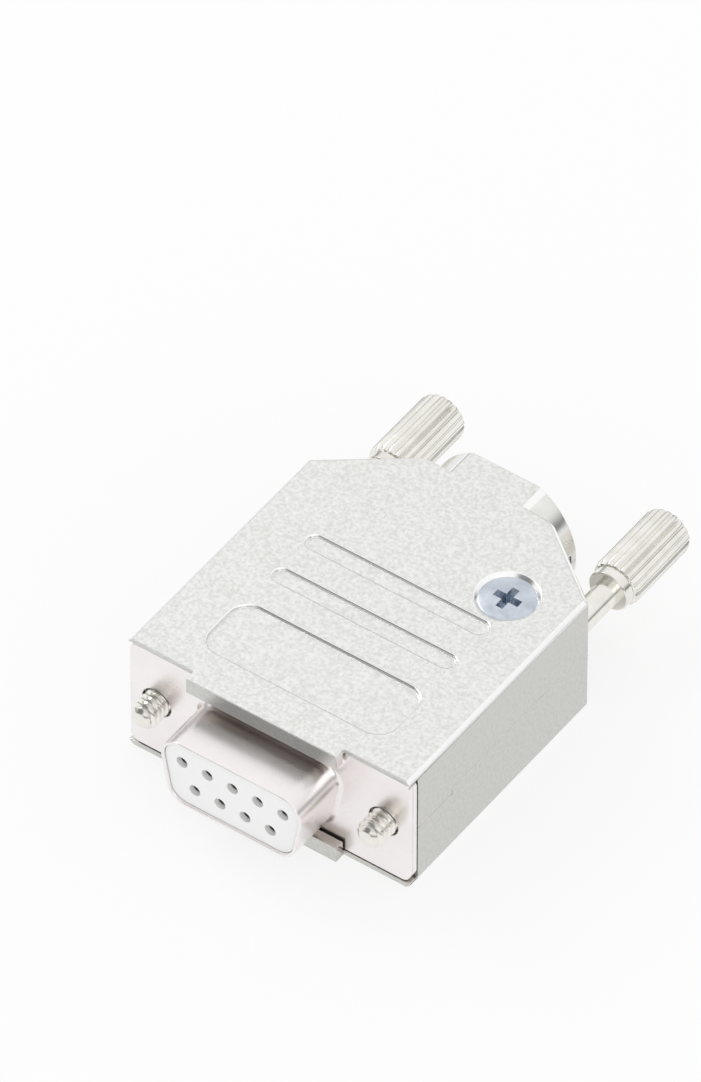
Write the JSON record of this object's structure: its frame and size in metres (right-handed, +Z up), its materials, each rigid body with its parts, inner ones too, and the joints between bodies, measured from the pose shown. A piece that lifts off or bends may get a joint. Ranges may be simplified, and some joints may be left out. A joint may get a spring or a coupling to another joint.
{
  "type": "d-sub hood",
  "caption": "Die-cast two-part hood for a D-subminiature connector, with knurled jackscrews, cable clamp, cover screw and socket connector.",
  "frame": {"origin": "on the flat underside of the lower shell, on the centre line, between the two grip grooves", "axes": "+Y along the cable, away from the connector; +Z up through the cover; +X to the side of the cover screw"},
  "size_m": [0.031, 0.0505, 0.0138],
  "materials": {
    "zinc_casting": "bright nickel-plated die-cast zinc, satin flats and polished edges",
    "nickel_steel": "nickel-plated turned steel",
    "zinc_plated_screw": "bluish zinc-plated steel",
    "tinned_steel": "tin-plated drawn steel",
    "dark_plastic": "moulded dark brown-black plastic",
    "white_plastic": "moulded white plastic",
    "contact_metal": "plated turned contacts"
  },
  "bodies": {
    "hood": {"lower_shell": "zinc_casting", "connector_front_shell": "tinned_steel", "connector_rear_shell": "tinned_steel", "connector_front_insulator": "white_plastic", "connector_rear_insulator": "white_plastic", "contact_1": "contact_metal", "contact_2": "contact_metal", "contact_3": "contact_metal", "contact_4": "contact_metal", "contact_5": "contact_metal", "contact_6": "contact_metal", "contact_7": "contact_metal", "contact_8": "contact_metal", "contact_9": "contact_metal"},
    "cover": {"upper_shell": "zinc_casting"},
    "screw": {"cover_screw": "zinc_plated_screw"},
    "upper_clamp": {"clamp_upper": "dark_plastic"},
    "lower_clamp": {"clamp_lower": "dark_plastic"},
    "left_jackscrew": {"jackscrew_left": "nickel_steel"},
    "right_jackscrew": {"jackscrew_right": "nickel_steel"}
  },
  "joints": [
    {"name": "cover_lift", "type": "slide", "parent": "hood", "child": "cover", "axis": [0, 0, 1], "range_m": [0, 0.055]},
    {"name": "clamp_upper_lift", "type": "slide", "parent": "hood", "child": "upper_clamp", "axis": [0, 0, 1], "range_m": [0, 0.0241]},
    {"name": "clamp_lower_lift", "type": "slide", "parent": "hood", "child": "lower_clamp", "axis": [0, 0, 1], "range_m": [0, 0.0161]},
    {"name": "cover_screw_lift", "type": "slide", "parent": "cover", "child": "screw", "axis": [0, 0, 1], "range_m": [0, 0.0076]},
    {"name": "jackscrew_left_spin", "type": "hinge", "parent": "hood", "child": "left_jackscrew", "pos_m": [-0.01249, 0.00325, 0.0069], "axis": [0, 1, 0], "continuous": true},
    {"name": "jackscrew_right_spin", "type": "hinge", "parent": "hood", "child": "right_jackscrew", "pos_m": [0.01249, 0.00325, 0.0069], "axis": [0, 1, 0], "continuous": true}
  ],
  "couplings": [
    {"joint": "clamp_upper_lift", "follows": "cover_lift", "ratio": 0.43636},
    {"joint": "clamp_lower_lift", "follows": "cover_lift", "ratio": 0.29091},
    {"joint": "cover_screw_lift", "follows": "cover_lift", "ratio": 0.13636}
  ]
}
